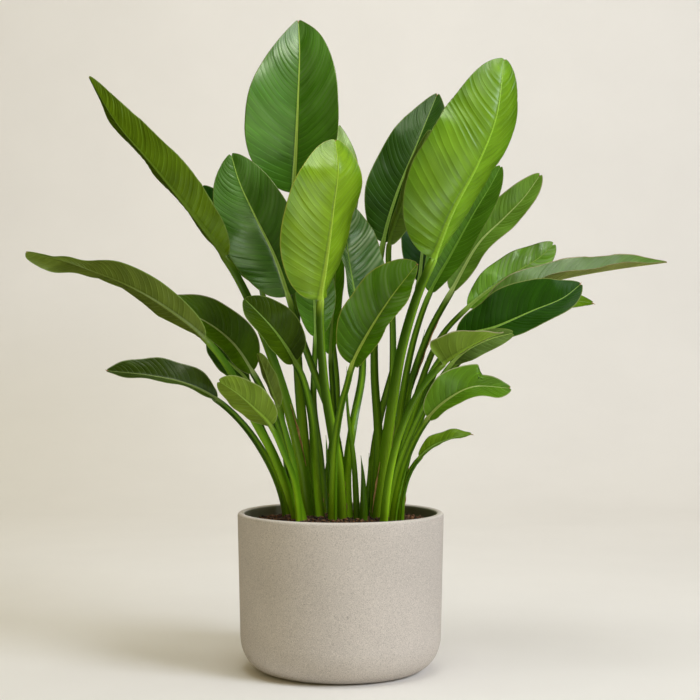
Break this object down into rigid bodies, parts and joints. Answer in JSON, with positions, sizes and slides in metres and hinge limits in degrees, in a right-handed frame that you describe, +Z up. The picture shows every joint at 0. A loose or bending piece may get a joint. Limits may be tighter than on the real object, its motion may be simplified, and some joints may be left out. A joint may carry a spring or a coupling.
{
  "type": "potted bird of paradise",
  "caption": "Bird of paradise house plant: broad paddle leaves on long arching stalks, growing from soil in a round matte planter with a rounded foot.",
  "frame": {"origin": "middle of the pot's flat underside, where it stands on the floor", "axes": "+Z up along the pot's axis, -Y towards the plant's front, as the picture shows it, +X to its right"},
  "size_m": [0.9311, 0.443, 0.9744],
  "materials": {
    "pot": "matte",
    "soil": "matte",
    "leaf_lime": "satin",
    "leaf_fresh": "satin",
    "leaf_mid": "satin",
    "leaf_deep": "satin",
    "leaf_dusky": "satin"
  },
  "bodies": {
    "root": {"pot": "pot", "soil": "soil", "leaf_crown": "leaf_mid", "leaf_front_lime": "leaf_lime", "leaf_left_mid": "leaf_mid", "leaf_right_big": "leaf_fresh", "leaf_back_dark": "leaf_dusky", "leaf_olive_fold": "leaf_fresh", "leaf_right_dark": "leaf_dusky", "leaf_right_upper": "leaf_mid", "leaf_right_gloss": "leaf_fresh", "leaf_right_long": "leaf_mid", "leaf_right_broad": "leaf_deep", "leaf_right_behind": "leaf_deep", "leaf_pale_lobe": "leaf_fresh", "leaf_grey_low": "leaf_mid", "leaf_low_right": "leaf_deep", "leaf_low_small": "leaf_deep", "leaf_far_left": "leaf_mid", "leaf_upper_left": "leaf_mid", "leaf_left_broad": "leaf_dusky", "leaf_left_centre": "leaf_deep", "leaf_lower_left": "leaf_dusky", "leaf_small_light": "leaf_fresh", "leaf_left_hidden": "leaf_dusky", "leaf_narrow_fold": "leaf_mid", "leaf_centre_gloss": "leaf_deep", "leaf_front_right": "leaf_mid", "leaf_back_right": "leaf_dusky", "leaf_blue_gloss": "leaf_deep", "leaf_centre_dark": "leaf_dusky", "leaf_behind_lime": "leaf_mid", "leaf_left_peek": "leaf_dusky", "spear_front_left": "leaf_fresh", "spear_centre": "leaf_fresh", "spear_right_front": "leaf_fresh", "spear_right_back": "leaf_fresh", "spear_tall_right": "leaf_fresh", "spear_curled": "leaf_fresh"}
  },
  "joints": []
}
